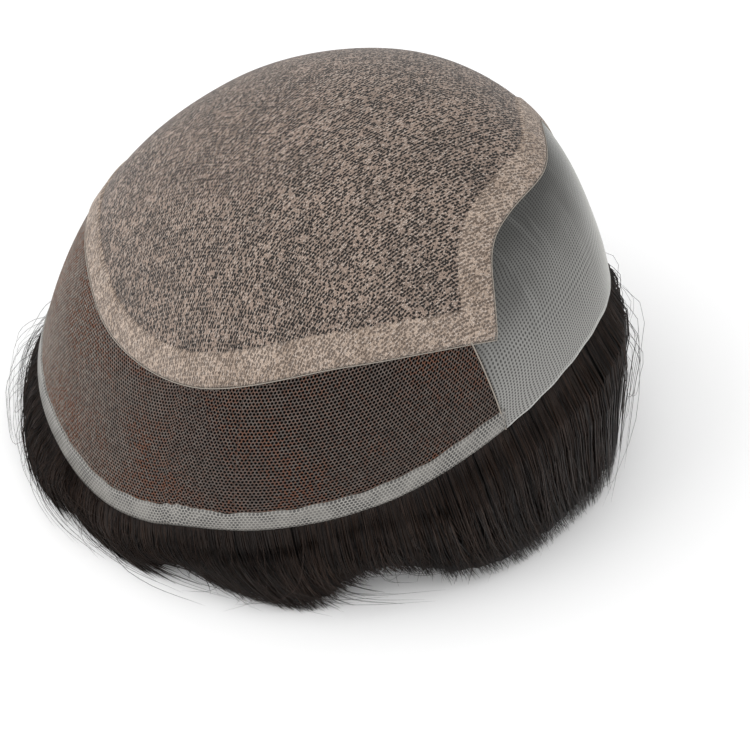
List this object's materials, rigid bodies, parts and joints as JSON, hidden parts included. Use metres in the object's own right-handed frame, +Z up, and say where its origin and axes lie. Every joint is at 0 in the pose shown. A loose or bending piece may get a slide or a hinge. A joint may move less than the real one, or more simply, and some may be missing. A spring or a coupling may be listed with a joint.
{
  "type": "toupee hairpiece turned inside out",
  "caption": "Hairpiece turned inside out: a domed silk and lace base with a coated edge on top, and dark hair in locks hanging below its rim.",
  "frame": {"origin": "on the surface that it stands on, under the middle of its bounding box", "axes": "+Z up, front hairline towards -Y, back towards +Y"},
  "size_m": [0.1628, 0.1796, 0.1264],
  "materials": {
    "silk": "matte woven silk with dark hair knots",
    "silk_hem": "matte folded silk strip",
    "fine_lace": "fine grey lace",
    "net_lace": "hexagonal net over dark hair",
    "coated_edge": "clear polyurethane coating over lace",
    "seam_thread": "folded lace seam",
    "hair": "dark brown hair with a soft sheen"
  },
  "bodies": {
    "root": {"silk_top": "silk", "silk_hem": "silk_hem", "front_lace": "fine_lace", "side_lace": "net_lace", "perimeter_band": "coated_edge", "seam_left": "seam_thread", "seam_right": "seam_thread", "hair": "hair"}
  },
  "joints": []
}
